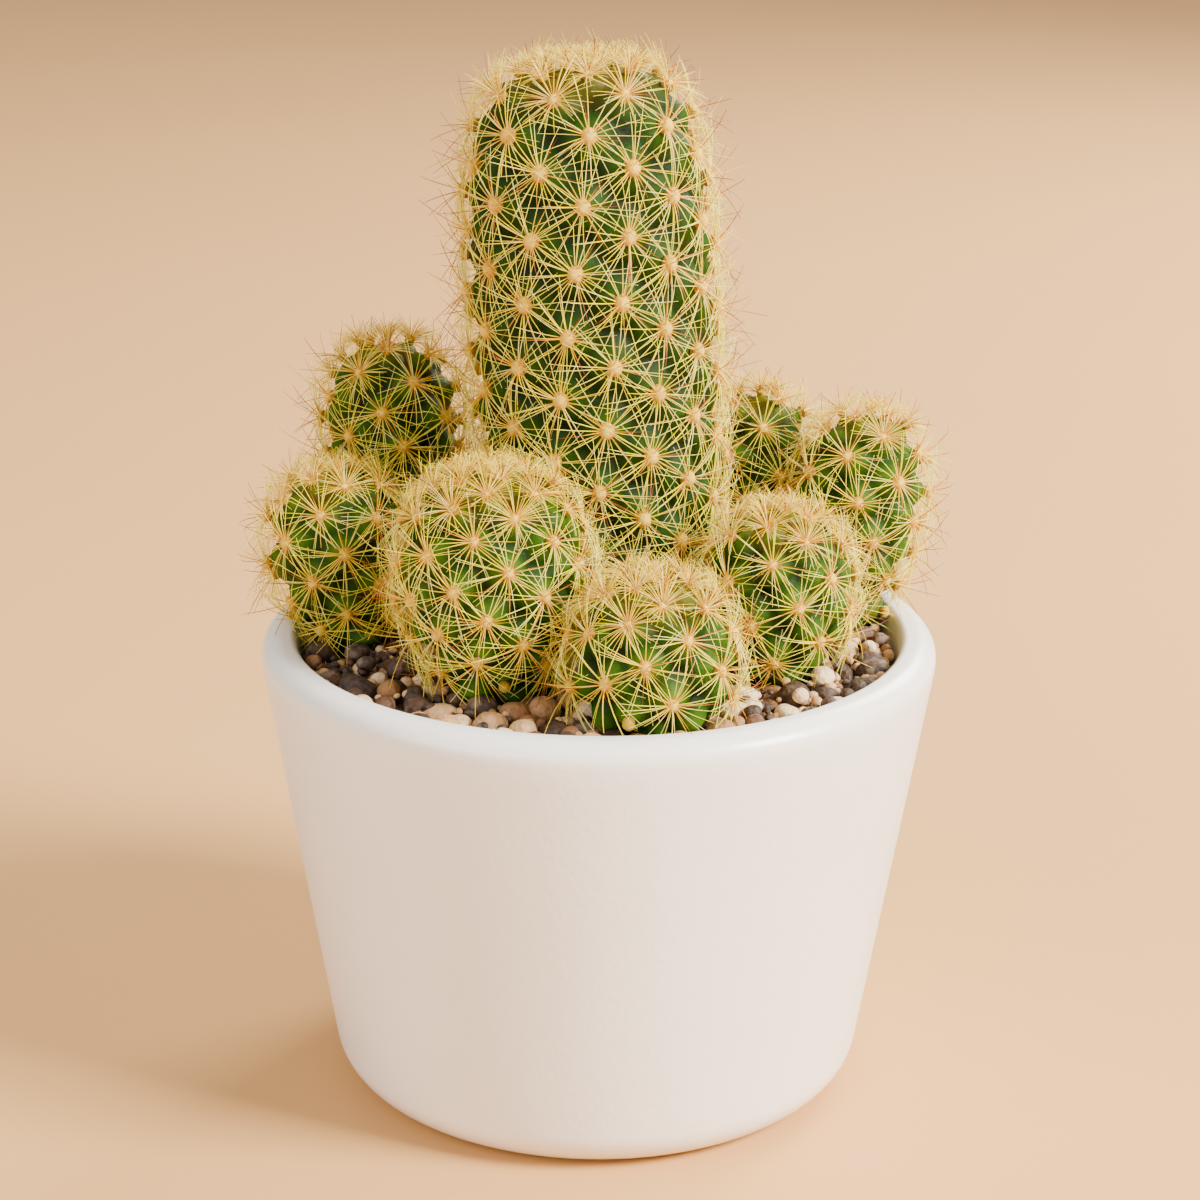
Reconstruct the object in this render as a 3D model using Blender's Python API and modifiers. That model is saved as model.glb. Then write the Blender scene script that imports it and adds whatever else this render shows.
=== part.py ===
"""Ladyfinger cactus in a small white pot: a tall middle stem, seven offsets around it, pebbles, soil and pot."""

import math
import random

import bmesh
import bpy
import numpy as np
from mathutils import Matrix, Vector

# All sizes and positions below are millimetres. The pot stands on Z = 0 and the viewer looks along +Y.
MM = 0.001
GAP = 0.3

# Pot
POT_HEIGHT = 55.4
RIM_RADIUS = 40.0
WALL_TAPER = 0.164
WALL_WIDTH = 4.4
FLOOR_HEIGHT = 5.0
LIP_OUTER_ROUNDING = 2.46
LIP_INNER_ROUNDING = 0.9
CORNER_ROUNDING = 6.0
FOOT_RING_INNER_RADIUS = 21.5
FOOT_RECESS = 0.8
POT_SEGMENTS = 36

# Soil and pebbles
SOIL_TOP = 49.0
BED_TOP = 52.1
PEBBLE_TOP = 54.8
PEBBLE_RADII = (1.5, 2.5)
PEBBLE_TRIES = 640
PEBBLE_SEED = 11

# Tubercles, their woolly tips and the spines
CORE_INSET = 1.0
TUBERCLE_ROOT_DEPTH = 1.2
TUBERCLE_ROOT_RADIUS = 3.4
TUBERCLE_RISE = 1.9
WOOL_RADIUS = 0.5
WOOL_BAND = 0.42
SPINES_PER_TIP = 4
SPINE_LENGTH = 5.6
SPINE_CLEAR = 0.55
LOWEST_SPINE = 55.3
SPINE_BENDS = ((19, 1.0), (27, 1.0), (38, 0.9), (52, 0.8), (68, 0.7), (68, 0.45))
GOLDEN_ANGLE = 137.508
SPINE_SEED = 5

# The middle stem carries its tubercles in rings of eight, each ring turned half a step and leaning a little.
RING_COUNT = 8
RING_STEP = 3.6
RING_LEAN = 2.5
RING_REFERENCE = (99.1, -5.9)
# Surface that one tubercle takes on the offsets, square millimetres.
OFFSET_TUBERCLE_AREA = 48.0

# For each stem: foot x, y, z; top x, y, z; belly height and radius; neck radius; length of the lower
# taper below the belly; roundness of the dome (2 is round, 4 is flat with round shoulders).
STEMS = {
    "main_stem": ((2.0, 7.0, 44.0), (-2.6, 6.6, 118.9), 84.0, 13.3, 11.0, 60.0, 4.0),
    "offset_front_left": ((-11.0, -12.8, 46.0), (-12.4, -14.3, 76.6), 66.6, 9.9, 5.5, 12.5, 2.2),
    "offset_left": ((-28.0, 3.0, 46.0), (-31.9, 3.2, 71.9), 63.8, 7.4, 4.2, 9.5, 2.1),
    "offset_back_left": ((-22.5, 15.0, 46.0), (-25.9, 18.0, 84.2), 76.0, 7.3, 5.0, 22.0, 2.2),
    "offset_front": ((5.5, -22.0, 46.0), (6.1, -24.6, 67.6), 58.8, 8.4, 5.5, 7.5, 2.1),
    "offset_front_right": ((19.5, -6.5, 46.0), (20.9, -7.5, 70.4), 62.2, 7.8, 4.8, 9.5, 2.1),
    "offset_right": ((27.2, 9.8, 46.0), (32.4, 10.8, 77.2), 67.5, 6.9, 4.2, 14.0, 2.3),
    "offset_back_right": ((17.5, 17.0, 46.0), (19.4, 19.5, 77.6), 71.0, 6.0, 4.0, 18.0, 2.1),
}

# Colour, roughness and metallic value of each piece.
LOOKS = {
    "pot": ((0.87, 0.85, 0.82), 0.32, 0.0),
    "potting_mix": ((0.07, 0.045, 0.03), 0.95, 0.0),
    "gravel": ((0.30, 0.22, 0.16), 0.8, 0.0),
    "main_stem": ((0.42, 0.44, 0.13), 0.6, 0.0),
    "offset": ((0.50, 0.50, 0.15), 0.6, 0.0),
}


def clear_scene():
    for thing in list(bpy.data.objects):
        bpy.data.objects.remove(thing, do_unlink=True)


def new_collection(name, hidden=False):
    collection = bpy.data.collections.new(name)
    bpy.context.scene.collection.children.link(collection)
    collection.hide_render = hidden
    return collection


def new_material(name, colour, roughness, metallic):
    material = bpy.data.materials.new(name)
    material.use_nodes = True
    shader = material.node_tree.nodes["Principled BSDF"]
    shader.inputs["Base Color"].default_value = (*colour, 1.0)
    shader.inputs["Roughness"].default_value = roughness
    shader.inputs["Metallic"].default_value = metallic
    material.diffuse_color = (*colour, 1.0)
    return material


def new_object(name, mesh, collection):
    thing = bpy.data.objects.new(name, mesh)
    collection.objects.link(thing)
    return thing


def arc(centre_r, centre_z, radius, start, end, steps):
    """Points of a quarter-like arc in the (radius, height) plane, angles in degrees."""
    angles = [math.radians(start + (end - start) * i / steps) for i in range(steps + 1)]
    return [(centre_r + radius * math.cos(a), centre_z + radius * math.sin(a)) for a in angles]


def turned(name, profile, segments, collection):
    """A solid turned about Z from (radius, height) points that run up the inside and down the outside."""
    points = [(r * MM, 0.0, z * MM) for r, z in profile]
    edges = [(i, i + 1) for i in range(len(points) - 1)]
    mesh = bpy.data.meshes.new(name)
    mesh.from_pydata(points, edges, [])
    thing = new_object(name, mesh, collection)
    screw = thing.modifiers.new("turn", "SCREW")
    screw.steps = segments
    screw.render_steps = segments
    screw.use_merge_vertices = True
    screw.merge_threshold = 0.00001
    screw.use_smooth_shade = False
    return thing


def baked(thing):
    """Replaces the object's mesh by what its modifiers make of it."""
    bpy.context.view_layer.update()
    graph = bpy.context.evaluated_depsgraph_get()
    mesh = bpy.data.meshes.new_from_object(thing.evaluated_get(graph))
    mesh.transform(thing.matrix_world)
    thing.modifiers.clear()
    thing.matrix_world = Matrix.Identity(4)
    thing.data = mesh
    return thing


def add_boolean(thing, operation, other, solver="EXACT"):
    modifier = thing.modifiers.new(operation.lower(), "BOOLEAN")
    modifier.operation = operation
    modifier.solver = solver
    if isinstance(other, bpy.types.Collection):
        modifier.operand_type = "COLLECTION"
        modifier.collection = other
    else:
        modifier.object = other
    return modifier


def keep_outer_skin(thing):
    """Fills sealed hollows and drops loose scrap: only the largest connected skin stays."""
    shape = bmesh.new()
    shape.from_mesh(thing.data)
    left = set(shape.faces)
    skins = []
    while left:
        skin = {left.pop()}
        edge_of_skin = list(skin)
        while edge_of_skin:
            face = edge_of_skin.pop()
            near = {other for edge in face.edges for other in edge.link_faces} & left
            left -= near
            skin |= near
            edge_of_skin.extend(near)
        skins.append(skin)
    largest = max(skins, key=lambda skin: sum(face.calc_area() for face in skin))
    scrap = [face for skin in skins if skin is not largest for face in skin]
    bmesh.ops.delete(shape, geom=scrap, context="FACES")
    shape.to_mesh(thing.data)
    shape.free()
    return thing


def finish(thing, material, angle=35):
    thing.data.materials.clear()
    thing.data.materials.append(material)
    thing.data.shade_smooth()
    thing.data.set_sharp_from_angle(angle=math.radians(angle))
    return thing


# Pot, soil and pebble bed


def outer_radius(z):
    return RIM_RADIUS - WALL_TAPER * (POT_HEIGHT - z)


def inner_radius(z):
    return outer_radius(z) - WALL_WIDTH


def build_pot(collection):
    lean = math.degrees(math.atan(WALL_TAPER))
    widen = 1 / math.cos(math.radians(lean))
    lip_in_z = POT_HEIGHT - LIP_INNER_ROUNDING
    lip_out_z = POT_HEIGHT - LIP_OUTER_ROUNDING
    lip_in = inner_radius(lip_in_z) + LIP_INNER_ROUNDING * widen
    lip_out = outer_radius(lip_out_z) - LIP_OUTER_ROUNDING * widen
    corner = outer_radius(CORNER_ROUNDING) - CORNER_ROUNDING * widen
    profile = [
        (0.0, FLOOR_HEIGHT),
        (inner_radius(FLOOR_HEIGHT) - 3.0, FLOOR_HEIGHT),
        (inner_radius(FLOOR_HEIGHT + 3.0), FLOOR_HEIGHT + 3.0),
        *arc(lip_in, lip_in_z, LIP_INNER_ROUNDING, 180 - lean, 90, 2),
        *arc(lip_out, lip_out_z, LIP_OUTER_ROUNDING, 90, -lean, 3),
        *arc(corner, CORNER_ROUNDING, CORNER_ROUNDING, -lean, -90, 3),
        (FOOT_RING_INNER_RADIUS, 0.0),
        (FOOT_RING_INNER_RADIUS - FOOT_RECESS, FOOT_RECESS),
        (0.0, FOOT_RECESS),
    ]
    return baked(turned("pot", profile, POT_SEGMENTS, collection))


def build_fill(name, low, high, chamfer, collection):
    """A round slug that fills the pot between two heights, clear of its wall."""
    profile = [
        (0.0, high),
        (inner_radius(high) - GAP, high),
        (inner_radius(low + chamfer) - GAP, low + chamfer),
        (inner_radius(low) - GAP - chamfer, low),
        (0.0, low),
    ]
    return baked(turned(name, profile, POT_SEGMENTS, collection))


# Stem shape


class Stem:
    """The turned core of one stem, along an axis that leans from its foot to its top."""

    def __init__(self, foot, top, belly_z, belly, neck, taper, dome):
        self.foot = Vector(foot)
        along = Vector(top) - self.foot
        self.length = along.length
        self.axis = along.normalized()
        self.side = Vector((1, 0, 0)) - self.axis * self.axis.x
        self.side.normalize()
        self.front = self.side.cross(self.axis)
        self.belly_at = (belly_z - self.foot.z) / self.axis.z
        self.belly = belly - CORE_INSET
        self.neck = neck
        self.taper = taper
        self.dome = dome
        self.segments = 13 if self.length > 50 else 9
        self.along = np.linspace(0.0, self.length, 240)
        self.radii = np.array([self.radius(u) for u in self.along])
        steps = np.hypot(np.diff(self.along), np.diff(self.radii))
        self.arc = np.concatenate([[0.0], np.cumsum(steps)])

    def radius(self, u):
        if u < self.belly_at:
            down = min((self.belly_at - u) / self.taper, 1.0)
            return max(self.neck, self.belly * math.sqrt(1.0 - down * down))
        up = (u - self.belly_at) / (self.length - self.belly_at)
        return self.belly * max(1.0 - min(up, 1.0) ** self.dome, 0.0) ** (1.0 / self.dome)

    def frame(self, arc_length, degrees):
        """(point, outward normal, tangent towards the top) at an arc length and a turn from the front."""
        u = float(np.interp(arc_length, self.arc, self.along))
        r = float(np.interp(arc_length, self.arc, self.radii))
        i = min(max(int(np.searchsorted(self.arc, arc_length)), 1), len(self.arc) - 1)
        rise = self.along[i] - self.along[i - 1]
        widening = self.radii[i] - self.radii[i - 1]
        turn = math.radians(degrees)
        outward = self.side * math.sin(turn) + self.front * math.cos(turn)
        tangent = (self.axis * rise + outward * widening).normalized()
        normal = (outward * rise - self.axis * widening).normalized()
        return self.foot + self.axis * u + outward * r, normal, tangent

    def arc_at_height(self, z):
        return float(np.interp((z - self.foot.z) / self.axis.z, self.along, self.arc))

    def clearance(self, points):
        """Signed distance of each point from the core's surface."""
        offset = points - np.array(self.foot)
        u = offset @ np.array(self.axis)
        r = np.linalg.norm(offset - u[:, None] * np.array(self.axis), axis=1)
        away = np.hypot(u[:, None] - self.along[None, :], r[:, None] - self.radii[None, :]).min(axis=1)
        inside = (r < np.interp(u, self.along, self.radii)) & (u > 0) & (u < self.length)
        return np.where(inside, -away, away)

    def core(self, name, collection, widen=0.0, top=None):
        """The turned core as an object, or with widen and top the plain shaft that its hole needs."""
        if top is None:
            picks = np.linspace(0.0, self.arc[-1], 11 if self.length > 50 else 8)
            profile = [(np.interp(s, self.arc, self.radii), np.interp(s, self.arc, self.along)) for s in picks]
            profile = [(0.0, self.length), *profile[-2::-1], (0.0, 0.0)]
        else:
            shaft = self.neck + widen
            profile = [(0.0, top), (shaft, top), (shaft, -widen), (0.0, -widen)]
        thing = turned(name, profile, self.segments, collection)
        turn = Matrix((self.side, -self.front, self.axis)).transposed().to_4x4()
        thing.matrix_world = Matrix.Translation(self.foot * MM) @ turn
        return baked(thing)


# Tubercles with their spines


def ring_tips(stem):
    """(arc length, turn, size) of each tubercle of the middle stem, ring by ring from the reference ring."""
    height, turn_at = RING_REFERENCE
    tips = []
    for way in (1, -1):
        ring = 0
        s = stem.arc_at_height(height)
        while stem.arc_at_height(55.5) < s < stem.arc[-1] - 1.0:
            r = float(np.interp(s, stem.arc, stem.radii)) + TUBERCLE_RISE
            size = min(max(r / stem.belly, 0.6), 1.0)
            count = min(RING_COUNT, int(2 * math.pi * r / 4.6))
            if ring or way == 1:
                for k in range(count):
                    turn = turn_at + (k + 0.5 * (ring % 2)) * 360.0 / count + way * ring * RING_LEAN
                    tips.append((s, turn, size))
            ring += 1
            s += way * RING_STEP * size
    tips.append((stem.arc[-1] - 0.2, 0.0, 0.45))
    return tips


def spiral_tips(stem, first_turn):
    """(arc length, turn, size) of each tubercle of an offset, in a spiral down from its top."""
    tips = []
    s = stem.arc[-1]
    used = 0.5
    while s > 0.0:
        s -= 0.1
        below_top = stem.arc[-1] - s
        size = 0.62 + 0.38 * min(1.0, below_top / (1.3 * stem.belly))
        r = float(np.interp(s, stem.arc, stem.radii)) + TUBERCLE_RISE * 0.6
        used += 2 * math.pi * r * 0.1 / (OFFSET_TUBERCLE_AREA * size * size)
        if used >= 1.0:
            used -= 1.0
            tips.append((s, first_turn + len(tips) * GOLDEN_ANGLE, size))
    return tips


def seated(point, normal, size):
    """Whether a tubercle here stays clear of the pebble bed and of the pot's lip."""
    tip = point + normal * TUBERCLE_RISE * size
    reach = math.hypot(tip.x, tip.y)
    return tip.z > (58.4 if reach > 32.5 else 55.2) and point.z > 54.9


def spine_samples(root, direction, length):
    return np.array([tuple(root + direction * length * t) for t in (0.12, 0.25, 0.4, 0.55, 0.7, 0.85, 1.0)])


def fit_spines(tip, normal, tangent, turn, size, others, placed):
    """Directions and lengths of the spines round one tip at one turn, each bent until it runs clear."""
    across = tangent.cross(normal)
    spines = []
    worth = 0.0
    for k in range(SPINES_PER_TIP):
        angle = turn + 2 * math.pi * (k + 0.5) / SPINES_PER_TIP
        flat = across * math.cos(angle) + tangent * math.sin(angle)
        for degrees, share in SPINE_BENDS:
            lift = math.radians(degrees)
            direction = flat * math.cos(lift) + normal * math.sin(lift)
            length = SPINE_LENGTH * share * (0.85 + 0.15 * size)
            samples = spine_samples(tip + flat * WOOL_RADIUS * size, direction, length)
            if samples[:, 2].min() < LOWEST_SPINE:
                continue
            if samples[samples[:, 2] < POT_HEIGHT + 0.6].size and math.hypot(tip.x, tip.y) > 29.0:
                continue
            if any(other.clearance(samples).min() < TUBERCLE_RISE + 0.9 for other in others):
                continue
            near = np.linalg.norm(placed[:, None] - samples[None], axis=2).min() if len(placed) else 9.0
            if near < SPINE_CLEAR:
                continue
            spines.append((k, direction, length, samples))
            worth += share + 0.1 * min(near, 1.5)
            break
    return worth, turn, spines


def tubercle(name, point, normal, tangent, turn, size, spines, collection):
    """One closed piece: a four-sided cone, its woolly cap and a four-sided spine grown from each side."""
    shape = bmesh.new()
    depth = (TUBERCLE_ROOT_DEPTH + TUBERCLE_RISE) * size
    bmesh.ops.create_cone(
        shape,
        cap_ends=True,
        segments=SPINES_PER_TIP,
        radius1=TUBERCLE_ROOT_RADIUS * size,
        radius2=WOOL_RADIUS * size,
        depth=depth,
    )
    rise = Matrix.Translation((0, 0, TUBERCLE_RISE * size - depth / 2))
    bmesh.ops.transform(shape, matrix=rise, verts=shape.verts)
    cap = max(shape.faces, key=lambda face: face.calc_center_median().z)
    grown = bmesh.ops.extrude_discrete_faces(shape, faces=[cap])["faces"][0]
    bmesh.ops.translate(shape, vec=(0, 0, WOOL_BAND * size), verts=grown.verts)
    band = [face for edge in grown.edges for face in edge.link_faces if face is not grown]
    across = tangent.cross(normal)
    axes = Matrix((across, tangent, normal)).transposed()
    frame = axes.to_4x4() @ Matrix.Rotation(turn, 4, "Z")
    to_local = frame.to_3x3().inverted()
    for k, direction, length, _ in spines:
        local = to_local @ direction
        side = max(band, key=lambda face: face.calc_center_median().dot(Vector((local.x, local.y, 0))))
        band.remove(side)
        root = side.calc_center_median()
        spike = bmesh.ops.poke(shape, faces=[side])["verts"][0]
        spike.co = root + local * length
    bmesh.ops.scale(shape, vec=(MM, MM, MM), verts=shape.verts)
    mesh = bpy.data.meshes.new(name)
    shape.to_mesh(mesh)
    shape.free()
    thing = new_object(name, mesh, collection)
    thing.matrix_world = Matrix.Translation(point * MM) @ frame
    return thing


def build_stem(name, stem, others, placed, blocked, parts, material):
    draw = random.Random(SPINE_SEED + len(name))
    body = stem.core(name, parts)
    pieces = new_collection(name + "_tubercles", hidden=True)
    tips = ring_tips(stem) if name == "main_stem" else spiral_tips(stem, draw.uniform(0, 360))
    for number, (s, degrees, size) in enumerate(tips):
        point, normal, tangent = stem.frame(s, degrees)
        if not seated(point, normal, size):
            continue
        top = np.array([tuple(point + normal * (TUBERCLE_RISE + WOOL_BAND) * size)])
        if any(other.clearance(top)[0] < TUBERCLE_RISE + 0.9 for other in others):
            continue
        tip = point + normal * (TUBERCLE_RISE + WOOL_BAND / 2) * size
        near = placed[np.linalg.norm(placed - np.array(tip), axis=1) < 13.0] if len(placed) else placed
        turns = [draw.uniform(0, 2 * math.pi) + 2 * math.pi * i / 40 for i in range(8)]
        fits = [fit_spines(tip, normal, tangent, turn, size, others, near) for turn in turns]
        worth, turn, spines = max(fits, key=lambda fit: fit[0])
        for spine in spines:
            placed = np.concatenate([placed, spine[3]])
        for angle in np.linspace(0, 2 * math.pi, 8, endpoint=False):
            skirt = tangent.cross(normal) * math.cos(angle) + tangent * math.sin(angle)
            blocked.append(tuple(point + skirt * 2.3 * size))
            blocked.append(tuple(point + skirt * 1.3 * size + normal * size))
        tubercle(f"{name}_{number}", point, normal, tangent, turn, size, spines, pieces)
    add_boolean(body, "UNION", pieces, "MANIFOLD")
    keep_outer_skin(baked(body))
    for piece in list(pieces.objects):
        bpy.data.objects.remove(piece, do_unlink=True)
    bpy.data.collections.remove(pieces)
    return finish(body, material), placed


# Pebbles


def pebble(name, centre, radius, draw, collection):
    """A rounded stone: a sunk five-sided skirt, a narrower shoulder and a low crown."""
    shape = bmesh.new()
    bmesh.ops.create_cone(
        shape,
        cap_ends=True,
        segments=5,
        radius1=radius * draw.uniform(0.95, 1.08),
        radius2=radius * draw.uniform(0.6, 0.72),
        depth=radius * 1.3,
    )
    top = max(shape.faces, key=lambda face: face.calc_center_median().z)
    crown = bmesh.ops.poke(shape, faces=[top])["verts"][0]
    crown.co.z += radius * 0.25
    for vertex in shape.verts:
        vertex.co *= draw.uniform(0.92, 1.06)
    bmesh.ops.scale(shape, vec=(MM, MM, MM), verts=shape.verts)
    mesh = bpy.data.meshes.new(name)
    shape.to_mesh(mesh)
    shape.free()
    thing = new_object(name, mesh, collection)
    spin = Matrix.Rotation(draw.uniform(0, 6.28), 4, "Z") @ Matrix.Rotation(draw.uniform(-0.25, 0.25), 4, "X")
    flatten = Matrix.Diagonal((1.0, draw.uniform(0.8, 1.0), draw.uniform(0.9, 1.0), 1.0))
    thing.matrix_world = Matrix.Translation(centre * MM) @ flatten @ spin
    return thing


def pebble_spots(stems, blocked):
    """Centres and radii of pebbles that lie apart from each other, the stems and the pot wall."""
    draw = random.Random(PEBBLE_SEED)
    obstacles = np.array(blocked)
    spots = []
    for attempt in range(PEBBLE_TRIES):
        largest = PEBBLE_RADII[1] if attempt < PEBBLE_TRIES / 3 else PEBBLE_RADII[0] + 0.4
        radius = draw.uniform(PEBBLE_RADII[0], largest)
        turn = draw.uniform(0, 2 * math.pi)
        reach = (inner_radius(BED_TOP) - radius * 1.1 - 0.4) * math.sqrt(draw.random())
        top = PEBBLE_TOP - draw.uniform(0.0, 0.7)
        centre = Vector((reach * math.cos(turn), reach * math.sin(turn), top - radius * 0.95))
        centre.z = min(centre.z, BED_TOP + 0.3 * radius)
        here = np.array([tuple(centre)])
        if any(stem.clearance(here)[0] < radius * 1.1 + 0.5 for stem in stems):
            continue
        if np.linalg.norm(obstacles - here, axis=1).min() < radius * 1.1 + 0.5:
            continue
        if any((centre - other).length < 0.93 * (radius + apart) for other, apart in spots):
            continue
        spots.append((centre, radius))
    return spots


def build_gravel(stems, blocked, parts, material):
    bed = build_fill("gravel", SOIL_TOP + GAP, BED_TOP, 0.0, parts)
    pieces = new_collection("pebbles", hidden=True)
    draw = random.Random(PEBBLE_SEED + 1)
    for number, (centre, radius) in enumerate(pebble_spots(stems, blocked)):
        pebble(f"pebble_{number}", centre, radius, draw, pieces)
    add_boolean(bed, "UNION", pieces, "MANIFOLD")
    keep_outer_skin(baked(bed))
    for piece in list(pieces.objects):
        bpy.data.objects.remove(piece, do_unlink=True)
    bpy.data.collections.remove(pieces)
    return finish(bed, material, 60)


def cut_stem_holes(thing, stems, cutters):
    """Plain round holes that the stems' feet stand in."""
    for number, stem in enumerate(stems):
        shaft = stem.core(f"{thing.name}_hole_{number}", cutters, GAP, 14.0)
        shaft.display_type = "WIRE"
        shaft.hide_render = True
        add_boolean(thing, "DIFFERENCE", shaft, "MANIFOLD")
    return baked(thing)


def main():
    clear_scene()
    parts = new_collection("ladyfinger_cactus")
    cutters = new_collection("cutters", hidden=True)
    looks = {name: new_material(name, *look) for name, look in LOOKS.items()}
    stems = {name: Stem(*shape) for name, shape in STEMS.items()}

    finish(build_pot(parts), looks["pot"], 40)

    placed = np.empty((0, 3))
    blocked = []
    for name, stem in stems.items():
        others = [other for key, other in stems.items() if key != name]
        material = looks["main_stem"] if name == "main_stem" else looks["offset"].copy()
        material.name = name
        body, placed = build_stem(name, stem, others, placed, blocked, parts, material)

    gravel = build_gravel(stems.values(), blocked, parts, looks["gravel"])
    cut_stem_holes(gravel, stems.values(), cutters)
    mix = build_fill("potting_mix", FLOOR_HEIGHT + GAP, SOIL_TOP, 3.0, parts)
    cut_stem_holes(mix, stems.values(), cutters)
    finish(mix, looks["potting_mix"])


main()
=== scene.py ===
"""Ladyfinger cactus in a white pot: the looks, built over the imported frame."""

import math

import bmesh
import bpy
import numpy as np
from mathutils import Matrix, Vector


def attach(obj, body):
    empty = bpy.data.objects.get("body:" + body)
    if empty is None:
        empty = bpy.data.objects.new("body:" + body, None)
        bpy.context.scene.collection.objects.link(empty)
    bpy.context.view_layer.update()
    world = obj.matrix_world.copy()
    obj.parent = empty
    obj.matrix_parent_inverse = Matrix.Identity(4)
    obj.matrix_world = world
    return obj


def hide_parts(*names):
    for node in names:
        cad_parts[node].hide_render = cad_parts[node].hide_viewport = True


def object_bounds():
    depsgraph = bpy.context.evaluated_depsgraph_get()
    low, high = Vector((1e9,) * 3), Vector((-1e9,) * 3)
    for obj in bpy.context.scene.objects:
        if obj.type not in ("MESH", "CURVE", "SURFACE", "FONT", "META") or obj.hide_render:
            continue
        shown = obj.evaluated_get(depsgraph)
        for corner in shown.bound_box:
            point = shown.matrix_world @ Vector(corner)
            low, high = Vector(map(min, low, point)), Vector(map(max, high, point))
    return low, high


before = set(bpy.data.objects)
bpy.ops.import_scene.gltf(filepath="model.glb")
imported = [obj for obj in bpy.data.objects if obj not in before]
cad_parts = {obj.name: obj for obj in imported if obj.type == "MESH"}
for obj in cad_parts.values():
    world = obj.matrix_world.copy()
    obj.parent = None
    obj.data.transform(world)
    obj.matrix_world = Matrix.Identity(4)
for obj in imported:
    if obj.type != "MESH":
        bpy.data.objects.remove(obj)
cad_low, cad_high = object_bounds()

# Pot
# White earthenware, thrown thick with a rolled lip and a rounded foot corner, dipped in one coat
# of satin white glaze. It stands on a narrow foot ring, and everything else is planted in it.

# The walls, rim and floor have the frame's own sizes, in millimetres.
MM = 0.001
POT_HEIGHT = 55.4
RIM_RADIUS = 40.0
WALL_TAPER = 0.164
WALL_WIDTH = 4.4
FLOOR_HEIGHT = 5.0
FLOOR_ROUNDING = 4.0
LIP_INNER_ROUNDING = 0.9
LIP_OUTER_ROUNDING = 2.46
CORNER_ROUNDING = 6.0
FOOT_OUTER_RADIUS = 24.0
FOOT_INNER_RADIUS = 22.2
FOOT_ROUNDING = 0.5
FOOT_RECESS = 0.8
RECESS_RADII = (20.7, 10.0, 0.0)
# Lowest and highest ring of each straight wall, and how many rings it has.
INNER_WALL_RINGS = (12, 53, 16)
OUTER_WALL_RINGS = (50.5, 8.5, 18)
# The frame's rim is a ring of flats, and this one stays within them.
RIM_REACH = 39.52
POT_SEGMENTS = 160
GLAZE = ((0.3, (0.88, 0.845, 0.805)), (0.7, (0.92, 0.895, 0.865)))
# The glaze is mixed towards this darker buff over the lowest few millimetres, darker towards the
# bottom.
FOOT_DARKENING = (0.62, 0.56, 0.49)
FOOT_DARKENING_HEIGHT_M = 0.004


def mesh_object(name, points, faces):
    """A smooth mesh object from points in millimetres, with its normals turned outward."""
    shape = bmesh.new()
    corners = [shape.verts.new(Vector(point) * MM) for point in points]
    for face in faces:
        shape.faces.new([corners[i] for i in face])
    bmesh.ops.recalc_face_normals(shape, faces=shape.faces)
    mesh = bpy.data.meshes.new(name)
    shape.to_mesh(mesh)
    shape.free()
    mesh.shade_smooth()
    thing = bpy.data.objects.new(name, mesh)
    bpy.context.scene.collection.objects.link(thing)
    return thing


def grid_faces(rows, around):
    """Faces of a closed tube of points whose first and last points are single poles."""
    faces = []
    last = 1 + rows * around
    for k in range(around):
        after = (k + 1) % around
        faces.append((0, 1 + after, 1 + k))
        for row in range(rows - 1):
            low = 1 + row * around
            faces.append((low + k, low + after, low + around + after, low + around + k))
        top = 1 + (rows - 1) * around
        faces.append((last, top + k, top + after))
    return faces


def turned(name, profile, around):
    """A solid turned about Z from (radius, height) points that start and end on the axis."""
    turns = np.arange(around) * 2 * math.pi / around
    rings = [(r * math.cos(t), r * math.sin(t), z) for r, z in profile[1:-1] for t in turns]
    points = [(0, 0, profile[0][1]), *rings, (0, 0, profile[-1][1])]
    return mesh_object(name, points, grid_faces(len(profile) - 2, around))


def arc(centre, radius, start, end, steps):
    """Points of an arc in the (radius, height) plane, angles in degrees."""
    angles = np.radians(np.linspace(start, end, steps + 1))
    return [(centre[0] + radius * math.cos(a), centre[1] + radius * math.sin(a)) for a in angles]


def feed(tree, socket, value):
    """Links a node's output to a socket, or sets the socket to a plain value or colour."""
    if isinstance(value, bpy.types.NodeSocket):
        tree.links.new(value, socket)
    elif socket.type == "RGBA":
        socket.default_value = (*value, 1.0)
    else:
        socket.default_value = value


def add(tree, kind, inputs=None, **settings):
    """A node of this kind; inputs are values or other nodes' sockets, keyed by name or number."""
    made = tree.nodes.new(kind)
    for key, value in settings.items():
        setattr(made, key, value)
    for key, value in (inputs or {}).items():
        feed(tree, made.inputs[key], value)
    return made


def math_node(tree, operation, one, two=0.0, three=0.0):
    return add(tree, "ShaderNodeMath", {0: one, 1: two, 2: three}, operation=operation).outputs[0]


def new_finish(name, roughness, sockets=None):
    """A material with its node tree and its Principled shader, some of whose sockets are set."""
    finish = bpy.data.materials.new(name)
    finish.use_nodes = True
    shader = finish.node_tree.nodes["Principled BSDF"]
    for label, value in {"Roughness": roughness, **(sockets or {})}.items():
        shader.inputs[label].default_value = value
    return finish, finish.node_tree, shader


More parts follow.
